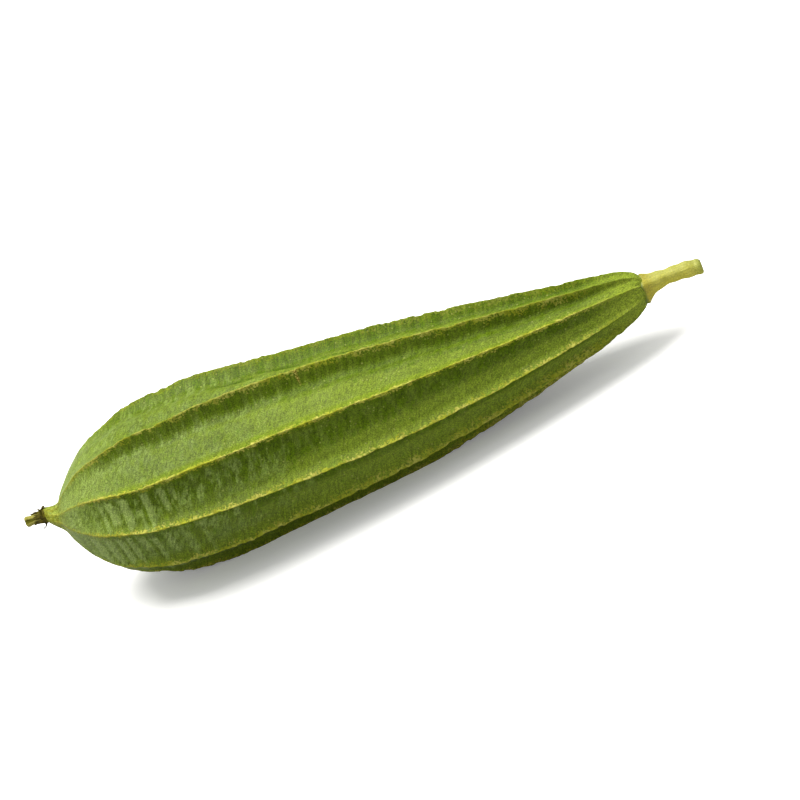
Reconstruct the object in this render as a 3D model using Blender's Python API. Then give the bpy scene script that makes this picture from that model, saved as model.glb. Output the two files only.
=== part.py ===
"""A ridge gourd as picked, lying on a table: the ten-ridged fruit, its cut stem and the withered
remnant of its flower.

Everything is built in metres along the fruit's own axis, blossom end at zero and stem end at
+X, and then hung from one empty that tilts the fruit onto its belly and sets it down at z = 0.
"""

import math
import random

import bmesh
import bpy
from mathutils import Matrix, Vector

# Driving dimensions of the fruit
FRUIT_LENGTH = 0.250  # beak at the blossom end to the seat of the stem
BELLY_RADIUS = 0.0361  # axis to crest where the fruit is thickest
RIDGE_HEIGHT = 0.0052  # crest above the floor of the groove, at the belly
RIDGE_SHARPNESS = 3.0  # power of the groove's curve: higher makes thinner, steeper keels
RIDGE_COUNT = 10
BOW = 0.0060  # how far the axis bends off the straight line between its ends
BOW_DIRECTION = math.radians(238)  # round the axis, from +Y towards +Z

# The crest's radius, as (share of the length, share of the belly radius)
CREST_OUTLINE = (
    (0.000, 0.090),
    (0.022, 0.171),
    (0.034, 0.305),
    (0.062, 0.548),
    (0.093, 0.732),
    (0.130, 0.849),
    (0.190, 0.969),
    (0.280, 1.000),
    (0.400, 0.932),
    (0.550, 0.838),
    (0.700, 0.679),
    (0.850, 0.474),
    (0.960, 0.297),
    (0.990, 0.203),
    (1.000, 0.120),
)
# The height of the ridges, as (share of the length, share of the height at the belly)
RIDGE_OUTLINE = (
    (0.00, 0.00),
    (0.03, 0.10),
    (0.10, 0.45),
    (0.20, 0.88),
    (0.32, 1.00),
    (0.70, 0.88),
    (0.88, 0.62),
    (0.97, 0.28),
    (1.00, 0.00),
)

# Where the ridges stand round the axis: even steps, from which each strays a little on its way
# along the fruit. One row for each ridge, in degrees, at each of these shares of the length.
RIDGE_STEP = math.tau / RIDGE_COUNT
COURSE_SHARES = (0.05, 0.20, 0.50, 0.90)
RIDGE_COURSES_DEG = (
    (-1, 1, 1, 0),
    (-4, -2, -1, 0),
    (-15, -12, -9, -2),
    (0, 0, -8, -2),
    (-9, 1, -2, -4),
    (-13, -6, -1, 2),
    (-10, -9, -7, -1),
    (-5, -3, -2, -1),
    (0, 2, 2, 1),
    (0, 1, 2, 1),
)
RIDGE_SWELL = 0.04  # how much a ridge's height comes and goes, as a share
GROOVE_SWELL = 0.0003  # low swellings across the floor of each groove
GROOVE_SWELLS = 9  # swellings along the fruit
SEED = 11

# Mesh of the fruit
STATIONS = 58  # rings along the fruit
GROOVE_STEPS = (0.0, 0.06, 0.16, 0.31, 0.50, 0.69, 0.84, 0.94)  # crest to crest

# How it lies: on two flats rubbed on the ridges either side of the lowest groove
REST_TILT = math.radians(4.8)  # stem end down, which brings the flats under the weight
REST_FLAT_DEPTH = 0.0006

# Stem and flower remnant
JOINT_GAP = 0.0003
STEM_LENGTH = 0.0230
STEM_RADIUS = 0.00305
STEM_BASE_RADIUS = 0.0045
STEM_RIBS = 5
STEM_STATIONS = 16
STEM_SIDES = 20
REMNANT_LENGTH = 0.0090
REMNANT_LOBES = 5
REMNANT_SIDES = 20


def smooth_curve(knots, at):
    """A monotone cubic through the knots, so that the outline has no ripples between them."""
    places = [k[0] for k in knots]
    values = [k[1] for k in knots]
    at = min(max(at, places[0]), places[-1])
    span = max(i for i in range(len(knots) - 1) if places[i] <= at)
    slopes = [
        (values[i + 1] - values[i]) / (places[i + 1] - places[i])
        for i in range(len(knots) - 1)
    ]

    def tangent(i):
        if i in (0, len(slopes)):
            return slopes[min(i, len(slopes) - 1)]
        before, after = slopes[i - 1], slopes[i]
        return 0.0 if before * after <= 0 else 2 * before * after / (before + after)

    width = places[span + 1] - places[span]
    u = (at - places[span]) / width
    return (
        (2 * u**3 - 3 * u**2 + 1) * values[span]
        + (u**3 - 2 * u**2 + u) * width * tangent(span)
        + (3 * u**2 - 2 * u**3) * values[span + 1]
        + (u**3 - u**2) * width * tangent(span + 1)
    )


def axis_point(share):
    """The fruit's axis, which bends more sharply at the blossom end than at the neck."""
    power = 16 if share < 0.5 else 2
    bend = BOW * (1 - abs(1 - 2 * share) ** power)
    return Vector(
        (
            share * FRUIT_LENGTH,
            bend * math.cos(BOW_DIRECTION),
            bend * math.sin(BOW_DIRECTION),
        )
    )


def ridge_waves():
    """The phases of each ridge's swell and of its groove's, drawn once, from a fixed seed."""
    draw = random.Random(SEED)
    return [[draw.uniform(0, math.tau) for _ in range(2)] for _ in range(RIDGE_COUNT)]


def ridge_angle(ridge, share):
    course = tuple(zip(COURSE_SHARES, RIDGE_COURSES_DEG[ridge]))
    return ridge * RIDGE_STEP + math.radians(smooth_curve(course, share))


def fruit_ring(share, waves):
    """One section of the fruit: thin keels that fall away into broad, nearly round grooves."""
    crest = BELLY_RADIUS * smooth_curve(CREST_OUTLINE, share)
    height = RIDGE_HEIGHT * smooth_curve(RIDGE_OUTLINE, share)
    centre = axis_point(share)
    ring = []
    for ridge in range(RIDGE_COUNT):
        start = ridge_angle(ridge, share)
        after = (ridge + 1) % RIDGE_COUNT
        end = ridge_angle(after, share) + (math.tau if after == 0 else 0.0)
        swells = [
            1 + RIDGE_SWELL * math.sin(math.tau * 2.6 * share + waves[i][0])
            for i in (ridge, after)
        ]
        for step in GROOVE_STEPS:
            angle = start + (end - start) * step
            nearness = abs(2 * step - 1)  # 1 on a crest, 0 in the middle of the groove
            keel = height * (swells[0] if step < 0.5 else swells[1])
            floor_wave = GROOVE_SWELL * math.sin(
                math.tau * GROOVE_SWELLS * share + waves[ridge][1]
            )
            radius = (
                crest
                - height
                + keel * nearness**RIDGE_SHARPNESS
                + floor_wave * (1 - nearness**2) * height / RIDGE_HEIGHT
            )
            ring.append(
                centre + radius * Vector((0, math.cos(angle), math.sin(angle)))
            )
    return ring


def mesh_through(name, rings):
    """A closed mesh through rings of equal count, listed along +X, with a flat cap at each end."""
    shape = bmesh.new()
    loops = [[shape.verts.new(point) for point in ring] for ring in rings]
    for near, far in zip(loops, loops[1:]):
        for i, corner in enumerate(near):
            following = (i + 1) % len(near)
            shape.faces.new((corner, near[following], far[following], far[i]))
    shape.faces.new(loops[0][::-1])
    shape.faces.new(loops[-1])
    bmesh.ops.recalc_face_normals(shape, faces=shape.faces)
    mesh = bpy.data.meshes.new(name)
    shape.to_mesh(mesh)
    shape.free()
    mesh.shade_smooth()
    mesh.set_sharp_from_angle(angle=math.radians(50))
    return mesh


def placed(name, rings, material, parent):
    made = bpy.data.objects.new(name, mesh_through(name, rings))
    made.data.materials.append(material)
    made.parent = parent
    bpy.context.scene.collection.objects.link(made)
    return made


def finish(name, colour, roughness):
    material = bpy.data.materials.new(name)
    material.use_nodes = True
    surface = material.node_tree.nodes["Principled BSDF"]
    surface.inputs["Base Color"].default_value = (*colour, 1)
    surface.inputs["Roughness"].default_value = roughness
    surface.inputs["Metallic"].default_value = 0.0
    return material


def make_fruit(parent):
    waves = ridge_waves()
    rings = []
    for i in range(STATIONS):
        even = i / (STATIONS - 1)
        # half even and half bunched towards the ends, where the outline turns quickly
        share = 0.45 * even + 0.55 * (1 - math.cos(math.pi * even)) / 2
        rings.append(fruit_ring(share, waves))
    return placed("fruit", rings, finish("green_skin", (0.20, 0.28, 0.04), 0.5), parent)


def make_stem(parent):
    """The stalk that the fruit hung from, cut square: ribbed, flared where it meets the fruit."""
    seat = axis_point(1.0) + Vector((JOINT_GAP, 0, 0))
    rings = []
    for i in range(STEM_STATIONS):
        share = i / (STEM_STATIONS - 1)
        flare = (STEM_BASE_RADIUS - STEM_RADIUS) * (1 - share) ** 7
        cut_edge = 0.0006 * max(0.0, (share - 0.93) / 0.07) ** 2
        droop = Vector((0, 0, 0.0009 * math.sin(math.pi * share) - 0.0004 * share**3))
        centre = seat + Vector((share * STEM_LENGTH, 0, 0)) + droop
        ring = []
        for k in range(STEM_SIDES):
            angle = math.tau * k / STEM_SIDES
            rib = 0.05 + 0.09 * (1 - share) ** 4
            radius = (STEM_RADIUS + flare) * (1 + rib * math.cos(STEM_RIBS * angle))
            radius -= cut_edge
            ring.append(
                centre + radius * Vector((0, math.cos(angle), math.sin(angle)))
            )
        rings.append(ring)
    return placed("stem", rings, finish("pale_stalk", (0.50, 0.46, 0.09), 0.6), parent)


def make_remnant(parent):
    """What is left of the flower: a dry collar of calyx lobes round the stub of the style."""
    seat = axis_point(0.0) - Vector((JOINT_GAP, 0, 0))
    # (share of the length out from the fruit, radius of the stub, reach of the lobes)
    outline = (
        (0.00, 0.0028, 0.0000),
        (0.14, 0.0025, 0.0002),
        (0.24, 0.0023, 0.0010),
        (0.34, 0.0022, 0.0017),
        (0.42, 0.0020, 0.0015),
        (0.50, 0.0018, 0.0005),
        (0.62, 0.0016, 0.0001),
        (0.78, 0.0016, 0.0000),
        (0.92, 0.0017, 0.0000),
        (1.00, 0.0013, 0.0000),
    )
    rings = []
    for share, stub, reach in reversed(outline):
        centre = seat + Vector((-share * REMNANT_LENGTH, 0, 0.0009 * share**2))
        ring = []
        for k in range(REMNANT_SIDES):
            angle = math.tau * k / REMNANT_SIDES
            lobe = (0.5 + 0.5 * math.cos(REMNANT_LOBES * angle)) ** 2
            radius = stub + reach * lobe
            ring.append(
                centre + radius * Vector((0, math.cos(angle), math.sin(angle)))
            )
        rings.append(ring)
    withered = finish("withered_flower", (0.13, 0.10, 0.03), 0.8)
    return placed("flower_remnant", rings, withered, parent)


def lay_down(support, fruit, others):
    """Tilts the fruit onto its belly, sets it on z = 0 and centres the whole over the origin."""
    turn = Matrix.Rotation(REST_TILT, 4, "Y")
    support.rotation_euler = (0, REST_TILT, 0)
    turned = [turn @ v.co for piece in (fruit, *others) for v in piece.data.vertices]
    lowest = min((turn @ v.co).z for v in fruit.data.vertices)
    support.location = (
        -(min(p.x for p in turned) + max(p.x for p in turned)) / 2,
        -(min(p.y for p in turned) + max(p.y for p in turned)) / 2,
        -lowest - REST_FLAT_DEPTH,
    )


def rub_flats(fruit):
    """Cuts the lowest crests level with the table, where the weight has pressed them."""
    shape = bmesh.new()
    bmesh.ops.create_cube(shape, size=1.0)
    mesh = bpy.data.meshes.new("table_cutter")
    shape.to_mesh(mesh)
    shape.free()
    cutter = bpy.data.objects.new("table_cutter", mesh)
    cutter.scale = (2 * FRUIT_LENGTH, FRUIT_LENGTH, 0.04)
    cutter.location = (0, 0, -0.02)
    cutter.hide_render = True
    cutter.display_type = "WIRE"
    bpy.context.scene.collection.objects.link(cutter)
    flats = fruit.modifiers.new("rest_flats", "BOOLEAN")
    flats.operation = "DIFFERENCE"
    flats.solver = "EXACT"
    flats.object = cutter


def main():
    for old in list(bpy.data.objects):
        bpy.data.objects.remove(old)
    support = bpy.data.objects.new("gourd", None)
    bpy.context.scene.collection.objects.link(support)
    fruit = make_fruit(support)
    stem = make_stem(support)
    remnant = make_remnant(support)
    lay_down(support, fruit, (stem, remnant))
    rub_flats(fruit)


main()
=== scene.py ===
"""A ridge gourd as picked, lying on a pale table: its skin, stem and withered flower in full detail."""

import math
import random
from types import SimpleNamespace

import bmesh
import bpy
import numpy as np
from mathutils import Matrix, Quaternion, Vector, noise


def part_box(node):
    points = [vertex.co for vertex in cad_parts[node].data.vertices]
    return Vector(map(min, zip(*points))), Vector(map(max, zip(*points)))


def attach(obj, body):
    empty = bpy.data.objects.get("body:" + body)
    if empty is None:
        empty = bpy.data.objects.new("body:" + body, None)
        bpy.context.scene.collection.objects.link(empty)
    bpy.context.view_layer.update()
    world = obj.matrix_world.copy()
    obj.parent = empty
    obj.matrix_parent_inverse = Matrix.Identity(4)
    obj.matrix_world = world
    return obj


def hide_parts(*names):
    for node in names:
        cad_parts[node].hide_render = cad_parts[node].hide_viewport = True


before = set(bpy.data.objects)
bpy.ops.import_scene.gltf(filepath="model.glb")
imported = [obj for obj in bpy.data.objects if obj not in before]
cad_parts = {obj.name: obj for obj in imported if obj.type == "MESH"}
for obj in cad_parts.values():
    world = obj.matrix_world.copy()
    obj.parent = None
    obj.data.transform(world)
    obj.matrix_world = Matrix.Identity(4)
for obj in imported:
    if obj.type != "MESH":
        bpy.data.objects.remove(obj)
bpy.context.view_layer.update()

# ---------------------------------------------------------------------------------------------
# Skin of the fruit: one growth from the beak at the blossom end to the shoulder at the stem. Ten
# thin keels with corky crests run its whole length, with scooped grooves between them whose sides
# are drawn up in folds. It follows the plain fruit's form at a finer pitch and stands for it.

FRUIT_LENGTH = 0.250
BELLY_RADIUS = 0.0361
RIDGE_HEIGHT = 0.0052
RIDGE_COUNT = 10
BOW = 0.0060  # how far the axis bends off the straight line between its ends
BOW_DIRECTION = math.radians(238)
REST_TILT = math.radians(4.8)  # stem end down

CREST_OUTLINE = (  # share of the length, share of the belly radius
    (0.000, 0.090),
    (0.022, 0.171),
    (0.034, 0.305),
    (0.062, 0.548),
    (0.093, 0.732),
    (0.130, 0.849),
    (0.190, 0.969),
    (0.280, 1.000),
    (0.400, 0.932),
    (0.550, 0.838),
    (0.700, 0.679),
    (0.850, 0.474),
    (0.960, 0.297),
    (0.990, 0.203),
    (1.000, 0.120),
)
RIDGE_OUTLINE = (  # share of the length, share of the ridge height at the belly
    (0.00, 0.00),
    (0.03, 0.10),
    (0.10, 0.45),
    (0.20, 0.88),
    (0.32, 1.00),
    (0.70, 0.88),
    (0.88, 0.62),
    (0.97, 0.28),
    (1.00, 0.00),
)
COURSE_SHARES = (0.05, 0.20, 0.50, 0.90)
RIDGE_COURSES_DEG = (  # how far each ridge strays from its even place, at those shares
    (-1, 1, 1, 0),
    (-4, -2, -1, 0),
    (-15, -12, -9, -2),
    (0, 0, -8, -2),
    (-9, 1, -2, -4),
    (-13, -6, -1, 2),
    (-10, -9, -7, -1),
    (-5, -3, -2, -1),
    (0, 2, 2, 1),
    (0, 1, 2, 1),
)
RIDGE_SWELL = 0.04  # how much a ridge's height comes and goes, as a share of it
RIDGE_SWELLS = 2.6
GROOVE_SWELL = 0.0003
GROOVE_SWELLS = 9
PLAIN_KEEL_POWER = 3  # how sharply a ridge of the plain fruit rises to its crest
SEED = 11

SKIN_STATIONS = 400
SKIN_STEPS = 24  # from one crest to the next
CREST_BUNCHING = 0.72  # how far the steps crowd towards the crests, from 0 to 1

FOLDS = 42  # folds along the fruit, closer together towards the blossom end
FOLD_HEIGHT = 0.00065
# One row for each groove: the strength of its folds and the steps that they run between, then how
# far the painted shade beside its crest reaches at the belly and at the neck, and how dark it is.
GROOVES = (
    (0.8, 0.05, 0.70, 0.55, 0.50, 0.9),
    (0.5, 0.30, 0.95, 0.45, 0.45, 0.9),
    (0.3, 0.10, 0.80, 0.24, 0.26, 1.0),
    (0.25, 0.05, 0.45, 0.27, 0.60, 0.75),
    (1.0, 0.03, 0.84, 0.68, 0.40, 1.0),
    (1.0, 0.04, 0.92, 0.42, 0.42, 1.0),
    (0.9, 0.06, 0.75, 0.75, 0.75, 1.0),
    (0.7, 0.30, 0.95, 0.70, 0.60, 1.0),
    (0.9, 0.05, 0.65, 0.60, 0.50, 0.9),
    (0.6, 0.10, 0.90, 0.50, 0.50, 0.9),
)
PAINTED_SHADE_ONSET = (0.07, 0.19)  # shares of the length between which the painted shade sets in
PAINTED_SHADE_NARROWING = (0.25, 0.85)  # and those between which its reach goes from the belly's to the neck's
PAINTED_SHADE_EDGE = 0.3  # in steps
NEAR_GROOVES = (2, 3, 4, 5, 6, 7)  # their painted shade lies after the crest, and the others' before it
FOLD_STRENGTH = (  # share of the length, share of the fold height
    (0.00, 0.0),
    (0.04, 0.5),
    (0.09, 1.0),
    (0.18, 0.85),
    (0.26, 0.30),
    (0.40, 0.15),
    (0.80, 0.10),
    (0.95, 0.0),
    (1.00, 0.0),
)
FOLD_THINNING = (  # share of the length, how far the folds shrink to thin lines
    (0.00, -0.50),
    (0.10, -0.30),
    (0.22, 0.05),
    (0.40, 0.20),
    (1.00, 0.20),
)
FOLD_CROWDING = 0.8  # below 1, the folds crowd towards the blossom end
FOLD_FADE_IN = 0.14  # in steps, as is the next
FOLD_FADE_OUT = 0.25
KEEL_DEPTHS = (1.0, 0.95, 1.15, 1.35, 0.95, 0.9, 1.0, 1.0, 0.95, 1.05)  # ridge by ridge
KEEL_FOOT = 0.70  # where the keel rises out of the groove, from 0 in its middle to 1 on the crest
KEEL_SHARE = 0.60  # share of the ridge's height that the keel makes up
KEEL_POWER = 1.25
GROOVE_POWER = 2.2  # how roundly the groove rises to the keel's foot
CREASES = (  # long shallow creases: groove, step and share of the length at each end, depth
    (2, 0.22, 0.44, 0.310, 0.420, 0.0008),
    (2, 0.34, 0.54, 0.410, 0.680, 0.0010),
    (2, 0.20, 0.34, 0.390, 0.490, 0.0005),
)
CREASE_WIDTH = 0.07  # in steps
CORK_STRENGTHS = (0.9, 0.8, 0.25, 0.75, 1.0, 1.0, 0.75, 0.9, 0.9, 0.9)  # ridge by ridge
CREST_BEAD = 0.00040  # height of the corky line on the crest
BEAD_WIDTH = 0.00060
CREST_WANDER = 0.00028  # how far it strays sideways
FOLD_PULL = 0.00012  # how far the folds draw it to and fro
CREST_ROUGHNESS = ((0.00018, 0.0060, 6), (0.00036, 0.0017, 7))  # height, size and seed of each kind
NICK_DEPTH = 0.0005
ROUGH_WIDTH = 0.0011  # of the rough and nicked strip along the crest
SKIN_LUMPS = 0.00028
SCAR_RIDGE = 3
SCAR_SHARE = 0.463
SCAR_DEPTH = 0.0010
SCAR_LENGTH = 0.0007  # along the crest
SCAR_REACH = 0.0040  # down its sides


def through(knots, at):
    """A monotone cubic through the knots, read at each value of an array and level beyond them."""
    places, values = np.array(knots, float).T
    at = np.clip(at, places[0], places[-1])
    slopes = np.diff(values) / np.diff(places)
    before, after = slopes[:-1], slopes[1:]
    same_way = before * after > 0
    tangents = np.concatenate([slopes[:1], np.zeros(len(before)), slopes[-1:]])
    tangents[1:-1][same_way] = (2 * before * after)[same_way] / (before + after)[same_way]
    span = np.clip(np.searchsorted(places, at, side="right") - 1, 0, len(slopes) - 1)
    width = np.diff(places)[span]
    u = (at - places[span]) / width
    return (
        (2 * u**3 - 3 * u**2 + 1) * values[span]
        + (u**3 - 2 * u**2 + u) * width * tangents[span]
        + (3 * u**2 - 2 * u**3) * values[span + 1]
        + (u**3 - u**2) * width * tangents[span + 1]
    )


def smooth_step(low, high, value):
    share = np.clip((value - low) / (high - low), 0, 1)
    return share * share * (3 - 2 * share)


def soft_noise(points, size, seed):
    """Smooth noise between -1 and 1, with swellings of about this size, at points in metres."""
    flat = points.reshape(-1, 3) / size + seed * np.array((17.3, 5.1, 9.7))
    return np.array([noise.noise(Vector(p)) for p in flat]).reshape(points.shape[:-1])


def along_noise(share, size, seed):
    """The same along each ridge in turn: one row for each station, one column for each ridge."""
    ridge = np.arange(RIDGE_COUNT) * 7.7 * size
    points = np.zeros((len(share), RIDGE_COUNT, 3))
    points[..., 0] = share[:, None] * FRUIT_LENGTH
    points[..., 1] = ridge
    return soft_noise(points, size, seed)


def axis_points(share):
    """The fruit's axis, which bends more sharply at the blossom end than at the neck."""
    share = np.asarray(share, float)
    bend = BOW * (1 - np.abs(1 - 2 * share) ** np.where(share < 0.5, 16, 2))
    across = (bend * math.cos(BOW_DIRECTION), bend * math.sin(BOW_DIRECTION))
    return np.stack([share * FRUIT_LENGTH, *across], axis=-1)


def ridge_waves():
    """The phases of each ridge's swell and of its groove's."""
    draw = random.Random(SEED)
    return np.array([[draw.uniform(0, math.tau) for _ in range(2)] for _ in range(RIDGE_COUNT)])


def ridge_angles(share):
    """Where each ridge stands round the axis, and the first once more, a full turn on."""
    columns = []
    for ridge, course in enumerate(RIDGE_COURSES_DEG):
        even = ridge * math.tau / RIDGE_COUNT
        columns.append(even + np.radians(through(tuple(zip(COURSE_SHARES, course)), share)))
    return np.stack([*columns, columns[0] + math.tau], axis=1)


def turned(points):
    """Points along the fruit's own axis, tilted as it lies."""
    return points @ np.array(Matrix.Rotation(REST_TILT, 3, "Y")).T


def groove_columns(*columns):
    """Columns of the table of grooves, each to be spread over stations and steps."""
    return (np.array(GROOVES)[:, i][None, :, None] for i in columns)


def skin_folds(share, steps, phase):
    """How high the folds stand, from 0 to about 1, and how strongly the skin is drawn up there."""
    amount, first, last = groove_columns(0, 1, 2)
    patch = 1.0 + 0.8 * along_noise(share, 0.018, 4) + 1.3 * along_noise(share, 0.0045, 11)
    starts = first + 0.16 * np.abs(along_noise(share, 0.005, 14))[..., None]
    reach = last - 0.12 + 0.34 * along_noise(share, 0.005, 12)[..., None]
    begins = smooth_step(0, FOLD_FADE_IN, steps - starts)
    ends = 1 - smooth_step(0, FOLD_FADE_OUT, steps - reach)
    bend = 0.9 + 2.0 * along_noise(share, 0.015, 15)[..., None]
    thinning = through(FOLD_THINNING, share)[:, None, None]
    wave = smooth_step(thinning, 1.0, 0.5 + 0.5 * np.cos(phase[..., None] - bend * (steps - 0.5)))
    strength = through(FOLD_STRENGTH, share)[:, None, None]
    zone = np.clip(strength * amount * begins * ends, 0, 1)
    return wave * np.clip(patch, 0, 1.7)[..., None] * zone, zone


def crest_painted_shade(share, steps):
    """How far inside the painted shade beside its crest a point lies, from -1 to 1, and how dark it is.
    """
    belly_reach, neck_reach, depth = groove_columns(3, 4, 5)
    after = np.isin(np.arange(RIDGE_COUNT), NEAR_GROOVES)[None, :, None]
    to_neck = smooth_step(*PAINTED_SHADE_NARROWING, share)[:, None, None]
    reach = belly_reach + (neck_reach - belly_reach) * to_neck
    reach = reach * smooth_step(*PAINTED_SHADE_ONSET, share)[:, None, None]
    lee = np.clip((reach - np.where(after, steps, 1 - steps)) / PAINTED_SHADE_EDGE, -1, 1)
    return lee, depth + 0 * lee


def crest_relief(share, gap, of_ridge):
    """The height of the corky line and of the rough strip that it stands on."""
    bead = np.clip(0.7 + 0.8 * along_noise(share, 0.0035, 5), 0.1, 1.4)
    rough = sum(height * along_noise(share, size, seed) for height, size, seed in CREST_ROUGHNESS)
    nick = NICK_DEPTH * smooth_step(0.34, 0.5, along_noise(share, 0.0045, 8))
    line = CREST_BEAD * of_ridge(bead) * np.exp(-((gap / BEAD_WIDTH) ** 2))
    return line + of_ridge(rough - nick) * np.exp(-((gap / ROUGH_WIDTH) ** 2))


def scar_mark(share, gap, leaving):
    """The small scar across one crest, from 0 to 1."""
    along = (share[:, None, None] - SCAR_SHARE) * FRUIT_LENGTH / SCAR_LENGTH
    ridges = np.arange(RIDGE_COUNT)[None, :, None]
    beside = np.where(leaving, ridges == SCAR_RIDGE, ridges == SCAR_RIDGE - 1)
    return beside * np.exp(-(np.hypot(along, gap / SCAR_REACH) ** 2))


def long_creases(share, steps):
    """How far the long creases dip, and how strongly each point is marked by them."""
    depth = np.zeros((len(share), RIDGE_COUNT, len(steps)))
    marked = np.zeros_like(depth)
    for groove, start_step, end_step, first, last, dip in CREASES:
        way_along = np.clip((share[:, None] - first) / (last - first), 0, 1)
        along = np.sin(math.pi * way_along)
        across = (steps - start_step - (end_step - start_step) * way_along) / CREASE_WIDTH
        dent = along * np.exp(-((across / (0.4 + 0.6 * along)) ** 2))
        depth[:, groove] += dip * dent
        marked[:, groove] = np.maximum(marked[:, groove], dent)
    return depth, marked


def fruit_surface(share, steps, fine):
    """The skin's points by station, ridge and step, and what the material needs to know of each."""
    angles = ridge_angles(share)
    start, end = angles[:, :-1, None], angles[:, 1:, None]
    angle = start + (end - start) * steps
    near = np.abs(2 * steps - 1) * np.ones_like(angle)  # 1 on a crest, 0 in the middle of a groove
    leaving = steps < 0.5

    def of_ridge(values):
        """Values known for each ridge, given to the half grooves on either side of it."""
        values = np.broadcast_to(values, (len(share), RIDGE_COUNT))
        values = np.concatenate([values, values[:, :1]], axis=1)
        return np.where(leaving, values[:, :-1, None], values[:, 1:, None])

    crest = (BELLY_RADIUS * through(CREST_OUTLINE, share))[:, None, None]
    height = (RIDGE_HEIGHT * through(RIDGE_OUTLINE, share))[:, None, None]
    waves = ridge_waves()
    swell = 1 + RIDGE_SWELL * np.sin(math.tau * RIDGE_SWELLS * share[:, None] + waves[:, 0])
    floor_wave = np.sin(math.tau * GROOVE_SWELLS * share[:, None] + waves[:, 1])[..., None]
    keel = near**PLAIN_KEEL_POWER
    marks = {}
    if fine:
        height = height * (1 + (of_ridge(KEEL_DEPTHS) - 1) * smooth_step(0, 0.5, near))
        rise = np.clip((near - KEEL_FOOT) / (1 - KEEL_FOOT), 0, 1)
        thin = KEEL_SHARE * smooth_step(0.07, 0.20, share)[:, None, None]
        keel = (1 - thin) * near**GROOVE_POWER + thin * rise**KEEL_POWER
    radius = crest - height + height * of_ridge(swell) * keel
    radius = radius + GROOVE_SWELL * floor_wave * (1 - near**2) * height / RIDGE_HEIGHT
    if fine:
        presence = through(RIDGE_OUTLINE, share)[:, None, None]
        gap = crest * np.abs(angle - np.where(leaving, start, end))  # way from the nearest crest
        drift = 0.8 * along_noise(share, 0.024, 3) + 0.4 * along_noise(share, 0.007, 10)
        phase = math.tau * (FOLDS * share[:, None] ** FOLD_CROWDING + drift) + waves[:, 1]
        fold, fold_zone = skin_folds(share, steps, phase)
        # painted shade beside each crest, stored on the mesh for the skin's colours
        lee, lee_depth = crest_painted_shade(share, steps)
        dip, crease = long_creases(share, steps)
        scar = scar_mark(share, gap, leaving)
        relief = FOLD_HEIGHT * fold + crest_relief(share, gap, of_ridge)
        radius = radius + presence * relief - SCAR_DEPTH * scar - dip
        stray = along_noise(share, 0.0085, 9) + 0.8 * along_noise(share, 0.0018, 13)
        stray = CREST_WANDER * stray + FOLD_PULL * np.cos(phase) * through(FOLD_STRENGTH, share)[:, None]
        hold = np.clip((near - 0.35) / 0.65, 0, 1) ** 1.5
        angle = angle + of_ridge(stray) * presence * hold / crest
        marks = {
            "crest_gap": gap * 1000,
            "nearness": near,
            "fold": fold,
            "lee": lee,
            "lee_depth": lee_depth,
            "share": share[:, None, None] + 0 * angle,
            "cork": of_ridge(CORK_STRENGTHS),
            "scar": scar,
            "pinch": crease,
            "fold_zone": fold_zone,
        }
    ray = np.stack([np.zeros_like(angle), np.cos(angle), np.sin(angle)], axis=-1)
    points = axis_points(share)[:, None, None] + radius[..., None] * ray
    if fine:
        lumps = 0.7 * soft_noise(points, 0.013, 1) + 0.4 * soft_noise(points, 0.0045, 2)
        full = np.clip(4 * radius / BELLY_RADIUS, 0, 1)  # the lumps shrink towards both ends
        points = points + (SKIN_LUMPS * lumps * full)[..., None] * ray
    way = np.stack([share[:, None, None] * FRUIT_LENGTH + 0 * angle, angle * BELLY_RADIUS, 0 * angle], -1)
    return turned(points), way, marks


PLAIN_STATIONS = 200  # along the plain form, and then across each ridge of it
PLAIN_STEPS = 20


def fruit_place():
    """The step from the fruit's own place to where the solid fruit lies."""
    low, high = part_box("fruit")
    steps = np.linspace(0, 1 - 1 / PLAIN_STEPS, PLAIN_STEPS)
    points = fruit_surface(np.linspace(0, 1, PLAIN_STATIONS), steps, fine=False)[0]
    flat = points.reshape(-1, 3)
    middle = (flat.min(axis=0) + flat.max(axis=0)) / 2
    return np.array(
        ((low.x + high.x) / 2 - middle[0], (low.y + high.y) / 2 - middle[1], high.z - flat[:, 2].max())
    )


FRUIT_PLACE = fruit_place()


def placed(name, data):
    """A new object of this mesh, curve, light or camera, in the scene."""
    made = bpy.data.objects.new(name, data)
    bpy.context.scene.collection.objects.link(made)
    return made


def sheathed(name, rings):
    """A closed mesh object through rings of points, listed from one end to the other."""
    count, sides = rings.shape[:2]
    corner = np.arange(count * sides).reshape(count, sides)
    following = np.roll(corner, -1, axis=1)
    quads = np.stack([corner[:-1], following[:-1], following[1:], corner[1:]], -1).reshape(-1, 4)
    mesh = bpy.data.meshes.new(name)
    ends = [corner[0][::-1].tolist(), corner[-1].tolist()]
    mesh.from_pydata(rings.reshape(-1, 3).tolist(), [], quads.tolist() + ends)
    mesh.update()
    mesh.shade_smooth()
    return placed(name, mesh)


def mark(made, name, values, kind="FLOAT"):
    """Stores a value or a vector on each point of the mesh, for its material to read."""
    attribute = made.data.attributes.new(name, kind, "POINT")
    field = "vector" if kind == "FLOAT_VECTOR" else "value"
    attribute.data.foreach_set(field, np.ascontiguousarray(values, np.float32).ravel())


def make_skin():
    even = np.linspace(0, 1, SKIN_STATIONS)
    share = 0.8 * even + 0.2 * (1 - np.cos(math.pi * even)) / 2
    u = np.arange(SKIN_STEPS) / SKIN_STEPS
    steps = u - CREST_BUNCHING * np.sin(math.tau * u) / math.tau
    points, way, marks = fruit_surface(share, steps, fine=True)
    points = points + FRUIT_PLACE
    points[..., 2] = np.maximum(points[..., 2], 0)  # rubbed flat where it lies on the table
    skin = sheathed("fruit_skin", points.reshape(SKIN_STATIONS, -1, 3))
    mark(skin, "skin_way", way, "FLOAT_VECTOR")
    for name, values in marks.items():
        mark(skin, name, values)
    return skin


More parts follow.
